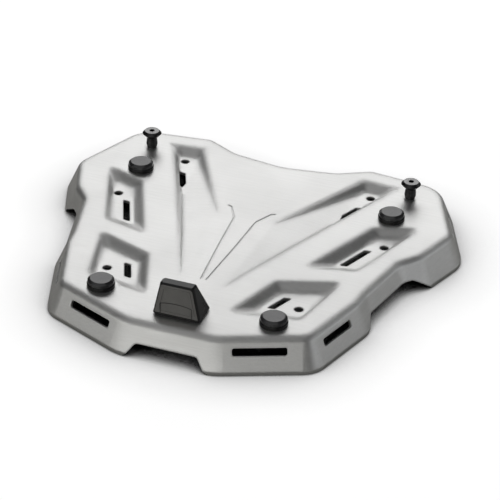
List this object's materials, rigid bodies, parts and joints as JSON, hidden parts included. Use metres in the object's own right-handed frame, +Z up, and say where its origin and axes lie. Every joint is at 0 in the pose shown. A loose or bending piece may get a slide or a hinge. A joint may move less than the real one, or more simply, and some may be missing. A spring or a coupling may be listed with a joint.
{
  "type": "top case mounting plate",
  "caption": "Pressed aluminium tray with slotted pockets, rubber pads, hook studs and a lock block that carries a removable case on a motorcycle rack.",
  "frame": {"origin": "under the middle of the plate, on the surface that its lower rim stands on", "axes": "+X right, +Y towards the front of the motorcycle, +Z up"},
  "size_m": [0.4004, 0.361, 0.0657],
  "materials": {
    "plate": "brushed, clear anodised",
    "ring": "moulded, satin",
    "pad": "moulded, satin",
    "fastener": "zinc plated",
    "stud": "black, turned",
    "lock": "moulded, fine grain",
    "lock_face": "moulded, satin",
    "gasket": "moulded, matt"
  },
  "bodies": {
    "root": {"mounting_plate": "plate", "pad_ring_rear_left": "ring", "rubber_pad_rear_left": "pad", "pad_screw_rear_left": "fastener", "pad_ring_rear_right": "ring", "rubber_pad_rear_right": "pad", "pad_screw_rear_right": "fastener", "pad_ring_front_left": "ring", "rubber_pad_front_left": "pad", "pad_screw_front_left": "fastener", "pad_ring_front_right": "ring", "rubber_pad_front_right": "pad", "pad_screw_front_right": "fastener", "stud_left": "stud", "stud_washer_left": "fastener", "stud_nut_left": "fastener", "lock_screw_left": "fastener", "stud_right": "stud", "stud_washer_right": "fastener", "stud_nut_right": "fastener", "lock_screw_right": "fastener", "lock_body": "lock", "lock_face": "lock_face", "lock_gasket": "gasket"}
  },
  "joints": []
}
